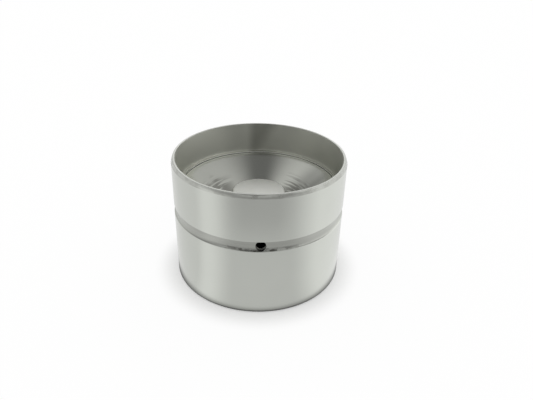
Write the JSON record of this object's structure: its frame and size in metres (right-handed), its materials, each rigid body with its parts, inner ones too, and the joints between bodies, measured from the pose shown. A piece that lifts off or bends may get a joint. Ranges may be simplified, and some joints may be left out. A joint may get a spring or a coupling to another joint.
{
  "type": "hydraulic valve lifter",
  "caption": "Steel bucket lifter with an oil groove and feed hole in its skirt, and a spring-loaded hydraulic element inside that takes up the valve lash.",
  "frame": {"origin": "centre of the cam face, which the lifter stands on", "axes": "+Z along the lifter's axis, from the cam face to the open rim; -Y through the oil feed hole"},
  "size_m": [0.035, 0.035, 0.026],
  "materials": {
    "ground_steel": "ground, with fine lines round the axis",
    "formed_steel": "bright, cold formed",
    "lapped_steel": "hardened and lapped",
    "spring_steel": "drawn wire",
    "ball_steel": "polished"
  },
  "bodies": {
    "bucket": {"bucket_shell": "ground_steel", "guide_sleeve": "formed_steel", "piston": "lapped_steel", "ball_cage": "formed_steel", "ball_spring": "spring_steel", "return_spring": "spring_steel"},
    "element": {"inner_housing": "lapped_steel", "retaining_ring": "spring_steel"},
    "ball": {"check_ball": "ball_steel"}
  },
  "joints": [
    {"name": "element_slide", "type": "slide", "parent": "bucket", "child": "element", "axis": [0, 0, 1], "range_m": [-0.0025, 0], "stiffness_N_per_m": 1500, "springref_m": 0.004, "deforming": ["return_spring"]},
    {"name": "ball_lift", "type": "slide", "parent": "bucket", "child": "ball", "axis": [0, 0, 1], "range_m": [0, 0.00025], "stiffness_N_per_m": 100, "springref_m": -0.0008, "deforming": ["ball_spring"]}
  ]
}
